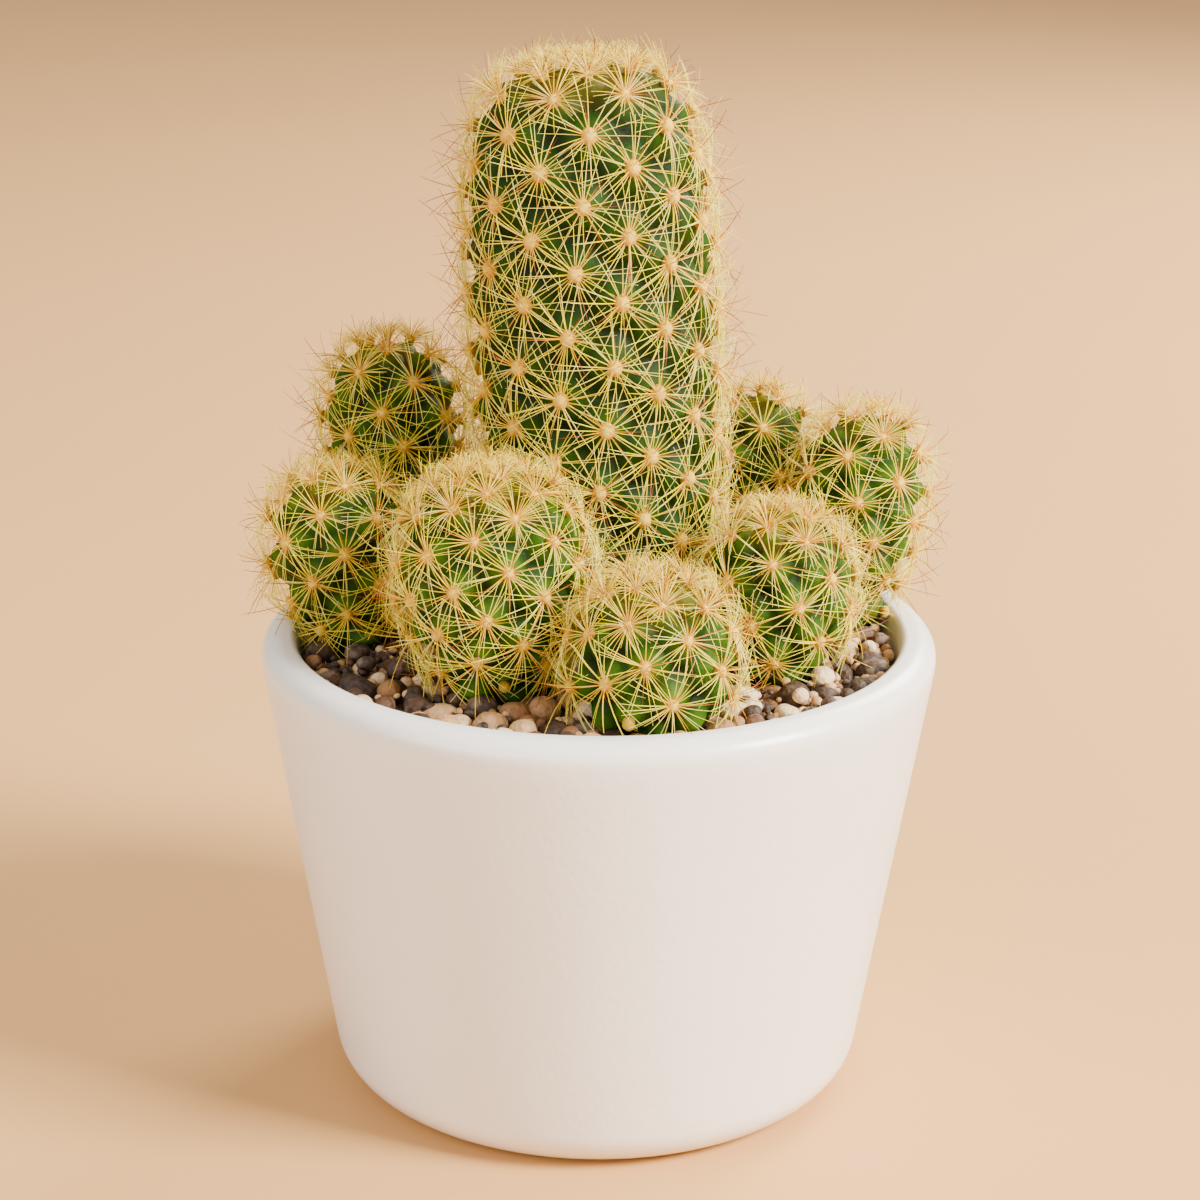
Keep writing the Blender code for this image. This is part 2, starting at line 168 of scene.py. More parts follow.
def grain_group():
    """The grain that every finish shares: noise over the piece itself, in waves a metre."""
    group = bpy.data.node_groups.new("surface_grain", "ShaderNodeTree")
    for label in ("Scale", "Detail"):
        group.interface.new_socket(label, in_out="INPUT", socket_type="NodeSocketFloat")
    group.interface.new_socket("Grain", in_out="OUTPUT", socket_type="NodeSocketFloat")
    given = group.nodes.new("NodeGroupInput").outputs
    result = group.nodes.new("NodeGroupOutput").inputs
    where = add(group, "ShaderNodeTexCoord").outputs["Object"]
    inputs = {"Vector": where, "Scale": given["Scale"], "Detail": given["Detail"]}
    waves = add(group, "ShaderNodeTexNoise", inputs)
    group.links.new(waves.outputs[0], result["Grain"])
    return group


surface_grain = grain_group()


def grain(tree, scale, detail):
    """The shared grain at this scale and detail, as a value."""
    inputs = {"Scale": scale, "Detail": detail}
    return add(tree, "ShaderNodeGroup", inputs, node_tree=surface_grain).outputs["Grain"]


def ramp(tree, factor, stops):
    """Colour by factor through (position, (red, green, blue)) stops."""
    made = add(tree, "ShaderNodeValToRGB", {0: factor})
    made.color_ramp.elements[0].position = stops[0][0]
    made.color_ramp.elements[1].position = stops[-1][0]
    for position, _ in stops[1:-1]:
        made.color_ramp.elements.new(position)
    for element, (_, colour) in zip(made.color_ramp.elements, stops):
        element.color = (*colour, 1.0)
    return made.outputs[0]


def blend(tree, factor, one, two, way="MIX"):
    """Two colours mixed by a factor; 6 and 7 are the node's colour sockets."""
    inputs = {0: factor, 6: one, 7: two}
    return add(tree, "ShaderNodeMix", inputs, data_type="RGBA", blend_type=way).outputs[2]


def stretch(tree, value, low, high, to_low=0.0, to_high=1.0):
    """A value stretched from one range onto another, held at its ends."""
    inputs = {0: value, 1: low, 2: high, 3: to_low, 4: to_high}
    return add(tree, "ShaderNodeMapRange", inputs).outputs[0]


def bump(tree, shader, height, strength, depth):
    """Bumps the shader's normal by a height, depth in metres."""
    made = add(tree, "ShaderNodeBump", {"Strength": strength, "Distance": depth, "Height": height})
    feed(tree, shader.inputs["Normal"], made.outputs[0])


def dress(thing, finish, slot, *nodes):
    """Gives a finished piece its material and its place in the frame."""
    thing.data.materials.clear()
    thing.data.materials.append(finish)
    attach(thing, "root")
    if nodes:
        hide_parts(*nodes)


def outer_radius(z):
    return RIM_RADIUS - WALL_TAPER * (POT_HEIGHT - z)


def inner_radius(z):
    return outer_radius(z) - WALL_WIDTH


def pot_profile():
    """(radius, height) points from the floor's middle up the inside, over the lip and down."""
    lean = math.degrees(math.atan(WALL_TAPER))
    widen = 1 / math.cos(math.radians(lean))
    floor_z = FLOOR_HEIGHT + FLOOR_ROUNDING
    floor_corner = (inner_radius(floor_z) - FLOOR_ROUNDING, floor_z)
    lip_in_z = POT_HEIGHT - LIP_INNER_ROUNDING
    lip_in = (inner_radius(lip_in_z) + LIP_INNER_ROUNDING * widen, lip_in_z)
    lip_out_z = POT_HEIGHT - LIP_OUTER_ROUNDING
    lip_out = (outer_radius(lip_out_z) - LIP_OUTER_ROUNDING * widen, lip_out_z)
    corner = (outer_radius(CORNER_ROUNDING) - CORNER_ROUNDING * widen, CORNER_ROUNDING)
    return [
        (0.0, FLOOR_HEIGHT),
        *[(inner_radius(FLOOR_HEIGHT) * k / 6, FLOOR_HEIGHT) for k in range(1, 5)],
        *arc(floor_corner, FLOOR_ROUNDING, -88, -lean, 8),
        *[(inner_radius(z), z) for z in np.linspace(*INNER_WALL_RINGS)],
        *arc(lip_in, LIP_INNER_ROUNDING, 180 - lean, 90, 8),
        *arc(lip_out, LIP_OUTER_ROUNDING, 90, -lean, 12),
        *[(outer_radius(z), z) for z in np.linspace(*OUTER_WALL_RINGS)],
        *arc(corner, CORNER_ROUNDING, -lean, -90, 14),
        (FOOT_OUTER_RADIUS, 0.0),
        *arc((FOOT_INNER_RADIUS, FOOT_ROUNDING), FOOT_ROUNDING, -90, -180, 3),
        *[(r, FOOT_RECESS) for r in RECESS_RADII],
    ]


pot = turned("pot_glazed", [(min(r, RIM_REACH), z) for r, z in pot_profile()], POT_SEGMENTS)
coat = {"Coat Weight": 0.35, "Coat Roughness": 0.18, "IOR": 1.5}
glaze, tree, shader = new_finish("white_glaze", 0.34, coat)
tint = ramp(tree, grain(tree, 34.0, 2.0), GLAZE)
where = add(tree, "ShaderNodeTexCoord").outputs["Object"]
height = add(tree, "ShaderNodeSeparateXYZ", {0: where}).outputs[2]
# Darker towards the bottom: half this buff where the pot meets the table, none above the given height.
darker_low = stretch(tree, height, 0.0, FOOT_DARKENING_HEIGHT_M, 0.5, 0.0)
feed(tree, shader.inputs["Base Color"], blend(tree, darker_low, tint, FOOT_DARKENING))
gloss = stretch(tree, grain(tree, 90.0, 4.0), 0.3, 0.7, 0.29, 0.41)
feed(tree, shader.inputs["Roughness"], gloss)
ripples = math_node(tree, "ADD", grain(tree, 60.0, 1.0), grain(tree, 900.0, 2.0))
bump(tree, shader, ripples, strength=0.12, depth=0.0004)
dress(pot, glaze, "pot", "pot")

# Potting mix
# Dark peat with grit, pressed into the pot up to the bed of pebbles. It is hidden by them, so
# the frame's own solid is kept and only takes this crumbly material.

PEAT = ((0.3, (0.018, 0.011, 0.007)), (0.55, (0.07, 0.045, 0.028)), (0.72, (0.2, 0.15, 0.1)))

peat, tree, shader = new_finish("peat_and_grit", 0.95)
crumbs = grain(tree, 700.0, 6.0)
feed(tree, shader.inputs["Base Color"], ramp(tree, crumbs, PEAT))
bump(tree, shader, crumbs, strength=0.8, depth=0.0008)
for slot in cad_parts["potting_mix"].material_slots:
    slot.material = peat

# Flesh of the stems
# Eight fingers of one clump, each a turned green body covered in blunt cones, eight to a ring on
# the tall middle one and in a spiral on the offsets. The young offsets are a fresher green.

# A stem's core is turned this far inside its stated radius, and its cones rise from the core.
CORE_INSET = 1.0
CORE_SAMPLES = 400
TIP_RISE = 1.9
# The crown reaches this many belly radii down from a stem's top.
CROWN_DEPTH = 1.25
# Rings of the middle stem: the most areoles in one, their least distance, the step to the next
# ring, its lean in degrees, and the height and turn of the ring that the others start from.
RING_COUNT = 8
RING_SPACING = 4.6
RING_STEP = 3.6
RING_LEAN = 2.5
RING_REFERENCE = (99.1, -5.9)
LOWEST_RING = 52.0
RING_TOP_MARGIN = 1.0
# The one areole at the top of the middle stem: its depth below the top, its turn and its size.
GROWING_POINT = (0.2, 0.0, 0.5)
SMALLEST_TIP = 0.6
# Spiral of an offset: the square millimetres that a full-size areole takes, measured this far off
# the core, the belly radii from the top over which areoles reach full size, and the jitter of an
# areole's turn in degrees.
OFFSET_TIP_AREA = 23.0
OFFSET_TIP_REACH = 1.1
OFFSET_TIP_GROWTH = 1.3
OFFSET_TURN_JITTER = 2.0
GOLDEN_ANGLE = 137.508
SPIRAL_STEP = 0.05
# Radius of a cone and side of a face of the skin, on the middle stem and on the offsets.
MAIN_SKIN = (4.3, 0.46)
OFFSET_SKIN = (3.15, 0.42)
CONE_ROUNDNESS = 1.35
VALLEY_DEPTH = 0.35
POLE_RISE = 0.5
WOBBLE = 0.12
# The skin is bare up to the first height and has its full cones from the second, just below the
# top of the pebbles.
CONES_START = 51.5
CONES_FULL = 54.0
# Colours of a valley, a cone's flank and its tip: the near black valley is painted shade between the
# cones, and the colour lightens up to the tip.
OLD_GREEN = ((0.001, 0.003, 0.0002), (0.005, 0.024, 0.0006), (0.022, 0.075, 0.0015))
YOUNG_GREEN = ((0.002, 0.006, 0.0002), (0.012, 0.05, 0.0008), (0.06, 0.15, 0.002))
YELLOWING = (1.35, 1.1, 0.6)
CROWN_FLESH = (0.36, 0.24, 0.01)


class Stem:
    """The turned core of one stem, along an axis that leans from its foot to its top."""

    def __init__(self, foot, top, belly_z, belly, neck, taper, dome):
        self.foot = np.array(foot)
        along = np.array(top) - self.foot
        self.length = float(np.linalg.norm(along))
        self.axis = along / self.length
        side = np.array((1.0, 0.0, 0.0)) - self.axis * self.axis[0]
        self.side = side / np.linalg.norm(side)
        self.front = np.cross(self.side, self.axis)
        self.belly = belly - CORE_INSET
        belly_at = (belly_z - foot[2]) / self.axis[2]
        self.along = np.linspace(0.0, self.length, CORE_SAMPLES)
        down = np.clip((belly_at - self.along) / taper, 0.0, 1.0)
        up = np.clip((self.along - belly_at) / (self.length - belly_at), 0.0, 1.0)
        lower = np.maximum(neck, self.belly * np.sqrt(1.0 - down**2))
        upper = self.belly * np.maximum(1.0 - up**dome, 0.0) ** (1.0 / dome)
        self.radii = np.where(self.along < belly_at, lower, upper)
        steps = np.hypot(np.diff(self.along), np.diff(self.radii))
        self.arc = np.concatenate([[0.0], np.cumsum(steps)])

    def surface(self, s, degrees):
        """(points, outward normals, tangents to the top) at arc lengths and turns from the front."""
        s = np.atleast_1d(np.asarray(s, float))
        turn = np.radians(np.atleast_1d(np.asarray(degrees, float)))
        u = np.interp(s, self.arc, self.along)
        r = np.interp(s, self.arc, self.radii)
        i = np.clip(np.searchsorted(self.arc, s), 1, len(self.arc) - 1)
        slope = np.stack([self.along[i] - self.along[i - 1], self.radii[i] - self.radii[i - 1]], 1)
        slope /= np.linalg.norm(slope, axis=1)[:, None]
        outward = self.side * np.sin(turn)[:, None] + self.front * np.cos(turn)[:, None]
        points = self.foot + self.axis * u[:, None] + outward * r[:, None]
        normals = outward * slope[:, :1] - self.axis * slope[:, 1:]
        tangents = self.axis * slope[:, :1] + outward * slope[:, 1:]
        return points, normals, tangents

    def arc_at_height(self, z):
        return float(np.interp((z - self.foot[2]) / self.axis[2], self.along, self.arc))

    def radius_at(self, s):
        return float(np.interp(s, self.arc, self.radii))

    def crown_at(self, s):
        """Nearness to the crown at arc lengths: 1 at the top, 0 below the crown."""
        return np.clip(1.0 - (self.arc[-1] - s) / (CROWN_DEPTH * self.belly), 0.0, 1.0)

    def clearance(self, points):
        """Signed distance of points from the core's surface."""
        offset = points - self.foot
        u = offset @ self.axis
        r = np.linalg.norm(offset - u[:, None] * self.axis, axis=1)
        away = np.hypot(u[:, None] - self.along[::4], r[:, None] - self.radii[::4]).min(axis=1)
        inside = (r < np.interp(u, self.along, self.radii)) & (u > 0) & (u < self.length)
        return np.where(inside, -away, away)


# For each stem: foot x, y, z; top x, y, z; belly height and radius; neck radius; length of the lower
# taper below the belly; roundness of the dome. These are the frame's own sizes.
STEMS = {
    "main_stem": Stem((2.0, 7.0, 44.0), (-2.6, 6.6, 118.9), 84.0, 13.3, 11.0, 60.0, 4.0),
    "offset_front_left": Stem((-11.0, -12.8, 46.0), (-12.4, -14.3, 76.6), 66.6, 9.9, 5.5, 12.5, 2.2),
    "offset_left": Stem((-28.0, 3.0, 46.0), (-31.9, 3.2, 71.9), 63.8, 7.4, 4.2, 9.5, 2.1),
    "offset_back_left": Stem((-22.5, 15.0, 46.0), (-25.9, 18.0, 84.2), 76.0, 7.3, 5.0, 22.0, 2.2),
    "offset_front": Stem((5.5, -22.0, 46.0), (6.1, -24.6, 67.6), 58.8, 8.4, 5.5, 7.5, 2.1),
    "offset_front_right": Stem((19.5, -6.5, 46.0), (20.9, -7.5, 70.4), 62.2, 7.8, 4.8, 9.5, 2.1),
    "offset_right": Stem((27.2, 9.8, 46.0), (32.4, 10.8, 77.2), 67.5, 6.9, 4.2, 14.0, 2.3),
    "offset_back_right": Stem((17.5, 17.0, 46.0), (19.4, 19.5, 77.6), 71.0, 6.0, 4.0, 18.0, 2.1),
}


def ring_tips(stem):
    """(arc length, turn, size) of the middle stem's areoles, ring by ring from a reference ring."""
    reference_z, reference_turn = RING_REFERENCE
    lowest = stem.arc_at_height(LOWEST_RING)
    highest = stem.arc[-1] - RING_TOP_MARGIN
    tips = []
    for way in (1, -1):
        ring = 0
        s = stem.arc_at_height(reference_z)
        while lowest < s < highest:
            r = stem.radius_at(s) + TIP_RISE
            size = min(max(r / stem.belly, SMALLEST_TIP), 1.0)
            count = min(RING_COUNT, int(2 * math.pi * r / RING_SPACING))
            if ring or way == 1:
                for k in range(count):
                    turn = reference_turn + (k + 0.5 * (ring % 2)) * 360.0 / count
                    tips.append((s, turn + way * ring * RING_LEAN, size))
            ring += 1
            s += way * RING_STEP * size
    depth, turn, size = GROWING_POINT
    tips.append((stem.arc[-1] - depth, turn, size))
    return tips


def spiral_tips(stem, first_turn):
    """(arc length, turn, size) of an offset's areoles, in a spiral down from its top."""
    tips = []
    s = stem.arc[-1]
    share = 0.5
    while s > 0.0:
        s -= SPIRAL_STEP
        grown_in = min(1.0, (stem.arc[-1] - s) / (OFFSET_TIP_GROWTH * stem.belly))
        size = SMALLEST_TIP + (1.0 - SMALLEST_TIP) * grown_in
        r = stem.radius_at(s) + OFFSET_TIP_REACH
        share += 2 * math.pi * r * SPIRAL_STEP / (OFFSET_TIP_AREA * size * size)
        if share >= 1.0:
            share -= 1.0
            tips.append((s, first_turn + len(tips) * GOLDEN_ANGLE, size))
    return tips


def tips_of(name, stem):
    """Arrays of each areole's core point, normal, tangent, size and nearness to the stem's crown."""
    draw = np.random.default_rng(len(name) * 7)
    tips = ring_tips(stem) if name == "main_stem" else spiral_tips(stem, draw.uniform(0, 360))
    s, turns, sizes = np.array(tips).T
    if name != "main_stem":
        turns = turns + draw.normal(0, OFFSET_TURN_JITTER, len(turns))
    points, normals, tangents = stem.surface(s, turns)
    return points, normals, tangents, sizes, stem.crown_at(s)


TIPS = {name: tips_of(name, stem) for name, stem in STEMS.items()}


def set_values(mesh, name, values, kind="FLOAT"):
    """Keeps one value or vector a point on the mesh."""
    layer = mesh.attributes.new(name, kind, "POINT")
    field = "value" if kind == "FLOAT" else "vector"
    layer.data.foreach_set(field, np.asarray(values, np.float32).ravel())


def flesh(name, stem, cone_radius, cell):
    """The stem's skin, pushed out into a blunt cone at each areole."""
    points, _, _, sizes, _ = TIPS[name]
    rows = int(stem.arc[-1] / cell)
    around = int(2 * math.pi * stem.belly / cell)
    s = np.repeat(np.linspace(0.0, stem.arc[-1], rows + 2)[1:-1], around)
    turns = np.tile(np.arange(around) * 360.0 / around, rows)
    skin, normals, _ = stem.surface(s, turns)
    rise = np.zeros(len(skin))
    for point, size in zip(points, sizes):
        away = np.linalg.norm(skin - point, axis=1) / (cone_radius * size)
        cone = np.clip(1.0 - away**CONE_ROUNDNESS, 0.0, 1.0)
        rise = np.maximum(rise, cone * size)
    x, y, z = skin.T
    shown = np.clip((z - CONES_START) / (CONES_FULL - CONES_START), 0.0, 1.0)
    wobble = WOBBLE * np.sin(x * 1.7 + z) * np.sin(y * 1.9 - z * 0.8)
    push = (rise * (TIP_RISE + VALLEY_DEPTH) - VALLEY_DEPTH + wobble) * shown
    skin = skin + normals * push[:, None]
    top = stem.foot + stem.axis * (stem.length + POLE_RISE)
    thing = mesh_object(name + "_flesh", [stem.foot, *skin, top], grid_faces(rows, around))
    set_values(thing.data, "rise", [0.0, *(rise * shown), 1.0])
    set_values(thing.data, "crown", [0.0, *stem.crown_at(s), 1.0])
    return thing


def carried(tree, name):
    """A value that the mesh carries for each point."""
    return add(tree, "ShaderNodeAttribute", attribute_name=name).outputs["Fac"]


def flesh_finish(name, valley, flank, tip):
    """Green skin with painted shade: dark in the valleys, paler on the cones, with fine pores."""
    sockets = {"Specular IOR Level": 0.14, "Subsurface Weight": 0.04, "Subsurface Scale": 1.0}
    sockets["Subsurface Radius"] = (0.0012, 0.0016, 0.0004)
    finish, tree, shader = new_finish(name, 0.6, sockets)
    # Painted shade: the flesh darkens to near black down into the valleys between the cones and
    # lightens towards their tips.
    green = ramp(tree, carried(tree, "rise"), ((0.08, valley), (0.45, flank), (0.95, tip)))
    patch = stretch(tree, grain(tree, 120.0, 3.0), 0.35, 0.65, 0.0, 0.45)
    green = blend(tree, patch, green, blend(tree, 1.0, green, YELLOWING, "MULTIPLY"))
    near_crown = stretch(tree, carried(tree, "crown"), 0.3, 1.0, 0.0, 0.45)
    green = blend(tree, near_crown, green, CROWN_FLESH)
    feed(tree, shader.inputs["Base Color"], green)
    bump(tree, shader, grain(tree, 2600.0, 4.0), strength=0.25, depth=0.0003)
    return finish


old_green = flesh_finish("old_green_flesh", *OLD_GREEN)
young_green = flesh_finish("young_green_flesh", *YOUNG_GREEN)
for name, stem in STEMS.items():
    tall = name == "main_stem"
    body = flesh(name, stem, *(MAIN_SKIN if tall else OFFSET_SKIN))
    dress(body, old_green if tall else young_green, name, name)

# Wool of the areoles
# Each cone ends in a small cushion of felted wool, ochre with a paler middle, from which the
# spines grow. Here it is a lumpy dome with a nap of short hairs.

# An areole stands this far off its cone, and shows if it clears the other stems by this much.
HEAD_STANDOFF = 0.25
HEAD_CLEARANCE = 1.0
LOWEST_WOOL = 54.6
# Lengths that go into a Geometry Nodes tree are in metres.
MAIN_WOOL_RADIUS_M = 0.00092
OFFSET_WOOL_RADIUS_M = 0.00074
WOOL_LENGTH = 1.15
WOOL_HEIGHT = 0.95
NAP = {
    "Count": 6, "Length": 0.0011, "Thickness": 0.00003, "Curl": 0.4, "Lift": 0.5,
    "Crown lift": 1.1, "Spread": 0.3, "Foot": 0.0005, "Seed": 5,
}
# A bristle's steps and sides, how much thinner its tip is, the shares of its length that it
# varies between, how much shorter it is at the crown, and the jitter of its turn in radians.
BRISTLE_STEPS = 4
BRISTLE_SIDES = 3
BRISTLE_TAPER = 0.72
BRISTLE_LENGTHS = (0.8, 1.08)
CROWN_SHORTENING = 0.28
TURN_JITTER = 0.16
TURN_SEED = 3
LIFT_SEED = 4
LENGTH_SEED = 5
# Pieces are kept this far inside the frame's box.
BOX_MARGIN_M = 0.00002
FELT = (
    (0.0, (0.4, 0.2, 0.002)), (0.5, (0.7, 0.42, 0.006)),
    (0.86, (0.8, 0.53, 0.025)), (1.0, (0.88, 0.62, 0.16)),
)
OLD_FELT = (0.56, 0.3, 0.01)


def shown_tips(name, lowest, crown_above):
    """The areoles of one stem that stand clear of the other stems and of the pebbles."""
    points, normals, tangents, sizes, crown = TIPS[name]
    heads = points + normals * (TIP_RISE * sizes + HEAD_STANDOFF)[:, None]
    keep = (heads[:, 2] > lowest) & (crown > crown_above)
    for other, stem in STEMS.items():
        if other != name:
            keep &= stem.clearance(heads) > HEAD_CLEARANCE
    return heads[keep], normals[keep], tangents[keep], sizes[keep], crown[keep]


def seeds(name, lowest, crown_above=-1.0):
    """A mesh of loose points, one an areole, that carries each areole's frame and size."""
    heads, normals, tangents, sizes, crown = shown_tips(name, lowest, crown_above)
    draw = np.random.default_rng(len(name) * 31 + len(heads))
    mesh = bpy.data.meshes.new(name)
    mesh.from_pydata([tuple(p) for p in heads * MM], [], [])
    set_values(mesh, "outward", normals, "FLOAT_VECTOR")
    set_values(mesh, "upward", tangents, "FLOAT_VECTOR")
    set_values(mesh, "size", sizes)
    set_values(mesh, "crown", crown)
    set_values(mesh, "phase", draw.uniform(0, 2 * math.pi, len(heads)))
    set_values(mesh, "age", draw.uniform(0, 1, len(heads)))
    return mesh


def new_tree(name, inputs):
    """An empty Geometry Nodes tree with a geometry input and output and these named inputs."""
    tree = bpy.data.node_groups.new(name, "GeometryNodeTree")
    tree.interface.new_socket("Geometry", in_out="INPUT", socket_type="NodeSocketGeometry")
    for label, kind in inputs.items():
        tree.interface.new_socket(label, in_out="INPUT", socket_type="NodeSocket" + kind)
    tree.interface.new_socket("Geometry", in_out="OUTPUT", socket_type="NodeSocketGeometry")
    given = tree.nodes.new("NodeGroupInput").outputs
    return tree, given, tree.nodes.new("NodeGroupOutput").inputs


def named(tree, name, kind="FLOAT"):
    made = add(tree, "GeometryNodeInputNamedAttribute", {"Name": name}, data_type=kind)
    return made.outputs["Attribute"]


def stored(tree, geometry, name, value):
    """The geometry with a value kept on its points."""
    inputs = {"Geometry": geometry, "Name": name, "Value": value}
    made = add(tree, "GeometryNodeStoreNamedAttribute", inputs, data_type="FLOAT", domain="POINT")
    return made.outputs["Geometry"]


def random_value(tree, low, high, seed):
    """A random number for each point; 2, 3 and output 1 are the node's sockets for plain numbers."""
    inputs = {2: low, 3: high, "Seed": seed}
    return add(tree, "FunctionNodeRandomValue", inputs, data_type="FLOAT").outputs[1]


def vector(tree, x=0.0, y=0.0, z=0.0):
    return add(tree, "ShaderNodeCombineXYZ", {0: x, 1: y, 2: z}).outputs[0]


def areole_facing(tree):
    """The rotation that turns Z outward from the stem and Y up along it."""
    inputs = {0: named(tree, "outward", "FLOAT_VECTOR"), 1: named(tree, "upward", "FLOAT_VECTOR")}
    made = add(tree, "FunctionNodeAxesToRotation", inputs, primary_axis="Z", secondary_axis="Y")
    return made.outputs[0]


def on_points(tree, points, shape, facing, scale):
    """A shape placed on every point, and made real."""
    inputs = {"Points": points, "Instance": shape, "Rotation": facing, "Scale": scale}
    placed = add(tree, "GeometryNodeInstanceOnPoints", inputs).outputs[0]
    return add(tree, "GeometryNodeRealizeInstances", {0: placed}).outputs[0]


def lumpy(tree, geometry, waves, detail, level, depth):
    """The geometry pushed along its normals by noise above and below a level."""
    where = add(tree, "GeometryNodeInputPosition").outputs[0]
    noise = {"Vector": where, "Scale": waves, "Detail": detail}
    lumps = add(tree, "ShaderNodeTexNoise", noise).outputs[0]
    push = math_node(tree, "MULTIPLY", math_node(tree, "SUBTRACT", lumps, level), depth)
    shift = {0: add(tree, "GeometryNodeInputNormal").outputs[0], "Scale": push}
    offset = add(tree, "ShaderNodeVectorMath", shift, operation="SCALE").outputs[0]
    inputs = {"Geometry": geometry, "Offset": offset}
    return add(tree, "GeometryNodeSetPosition", inputs).outputs[0]


def end_tree(tree, geometry, given, result):
    """Ends a tree with its geometry shaded smooth and given its material."""
    smooth = add(tree, "GeometryNodeSetShadeSmooth", {0: geometry}).outputs[0]
    inputs = {"Geometry": smooth, "Material": given["Finish"]}
    feed(tree, result["Geometry"], add(tree, "GeometryNodeSetMaterial", inputs).outputs[0])


def dome_tree():
    """A lumpy felted cushion on each point, squashed along its outward axis."""
    tree, given, result = new_tree("woolly_cushions", {"Radius": "Float", "Finish": "Material"})
    ball = add(tree, "GeometryNodeMeshIcoSphere", {"Radius": 1.0, "Subdivisions": 2}).outputs[0]
    where = add(tree, "GeometryNodeInputPosition").outputs[0]
    ball = stored(tree, ball, "along", add(tree, "ShaderNodeSeparateXYZ", {0: where}).outputs[2])
    width = math_node(tree, "MULTIPLY", given["Radius"], named(tree, "size"))
    length = math_node(tree, "MULTIPLY", width, WOOL_LENGTH)
    height = math_node(tree, "MULTIPLY", width, WOOL_HEIGHT)
    scale = vector(tree, width, length, height)
    real = on_points(tree, given["Geometry"], ball, areole_facing(tree), scale)
    felted = lumpy(tree, real, waves=2600.0, detail=2.0, level=0.5, depth=0.0005)
    end_tree(tree, felted, given, result)
    return tree


def one_bristle(tree, given):
    """A bristle along X from its foot, sagging to its tip and tapering."""
    middle = math_node(tree, "MULTIPLY", given["Length"], 0.5)
    sag = math_node(tree, "MULTIPLY", math_node(tree, "MULTIPLY", given["Length"], given["Curl"]), -1.0)
    line = add(tree, "GeometryNodeCurveQuadraticBezier", {
        "Resolution": BRISTLE_STEPS,
        "Start": vector(tree, given["Foot"]),
        "Middle": vector(tree, middle),
        "End": vector(tree, given["Length"], 0.0, sag),
    }).outputs[0]
    along = add(tree, "GeometryNodeSplineParameter").outputs["Factor"]
    thin = math_node(tree, "MULTIPLY_ADD", along, -BRISTLE_TAPER, 1.0)
    sides = {"Resolution": BRISTLE_SIDES, "Radius": 1.0}
    return add(tree, "GeometryNodeCurveToMesh", {
        "Curve": stored(tree, line, "along", along),
        "Profile Curve": add(tree, "GeometryNodeCurvePrimitiveCircle", sides).outputs[0],
        "Scale": math_node(tree, "MULTIPLY", thin, given["Thickness"]),
        "Fill Caps": True,
    }).outputs[0]


def bristle_tree():
    """Curved tapering bristles that fan out from each point."""
    sizes = ("Length", "Thickness", "Curl", "Lift", "Crown lift", "Spread", "Foot")
    inputs = {"Count": "Int", **{size: "Float" for size in sizes}, "Seed": "Int", "Finish": "Material"}
    tree, given, result = new_tree("fanned_bristles", inputs)
    copying = {"Geometry": given["Geometry"], "Amount": given["Count"]}
    copies = add(tree, "GeometryNodeDuplicateElements", copying, domain="POINT")
    tone = random_value(tree, 0.0, 1.0, given["Seed"])
    points = stored(tree, copies.outputs["Geometry"], "tone", tone)

    share = math_node(tree, "DIVIDE", copies.outputs["Duplicate Index"], given["Count"])
    turn = math_node(tree, "MULTIPLY_ADD", share, 2 * math.pi, named(tree, "phase"))
    turn = math_node(tree, "ADD", turn, random_value(tree, -TURN_JITTER, TURN_JITTER, TURN_SEED))
    more = math_node(tree, "SUBTRACT", given["Crown lift"], given["Lift"])
    lift = math_node(tree, "MULTIPLY_ADD", named(tree, "crown"), more, given["Lift"])
    stray = random_value(tree, -1.0, 1.0, LIFT_SEED)
    lift = math_node(tree, "MULTIPLY_ADD", stray, given["Spread"], lift)
    euler = vector(tree, 0.0, math_node(tree, "MULTIPLY", lift, -1.0), turn)
    fanned = add(tree, "FunctionNodeEulerToRotation", {0: euler}).outputs[0]
    turning = {0: areole_facing(tree), 1: fanned}
    facing = add(tree, "FunctionNodeRotateRotation", turning, rotation_space="LOCAL").outputs[0]

    varied = random_value(tree, *BRISTLE_LENGTHS, LENGTH_SEED)
    length = math_node(tree, "MULTIPLY", named(tree, "size"), varied)
    shorter = math_node(tree, "MULTIPLY_ADD", named(tree, "crown"), -CROWN_SHORTENING, 1.0)
    length = math_node(tree, "MULTIPLY", length, shorter)
    scale = vector(tree, length, 1.0, length)
    real = on_points(tree, points, one_bristle(tree, given), facing, scale)
    end_tree(tree, real, given, result)
    return tree


def grown(name, points, tree, finish, settings):
    """What a tree grows on a mesh of points, as a plain mesh object kept inside the frame's box."""
    thing = bpy.data.objects.new(name, points)
    bpy.context.scene.collection.objects.link(thing)
    growth = thing.modifiers.new("growth", "NODES")
    growth.node_group = tree
    values = {**settings, "Finish": finish}
    for socket in tree.interface.items_tree:
        if socket.in_out == "INPUT" and socket.name in values:
            growth[socket.identifier] = values[socket.name]
    bpy.context.view_layer.update()
    graph = bpy.context.evaluated_depsgraph_get()
    mesh = bpy.data.meshes.new_from_object(thing.evaluated_get(graph), depsgraph=graph)
    thing.modifiers.clear()
    thing.data = mesh
    corners = np.empty(len(mesh.vertices) * 3, np.float32)
    mesh.vertices.foreach_get("co", corners)
    low = np.array(cad_low) + BOX_MARGIN_M
    high = np.array(cad_high) - BOX_MARGIN_M
    mesh.vertices.foreach_set("co", np.clip(corners.reshape(-1, 3), low, high).ravel())
    mesh.update()
    return thing


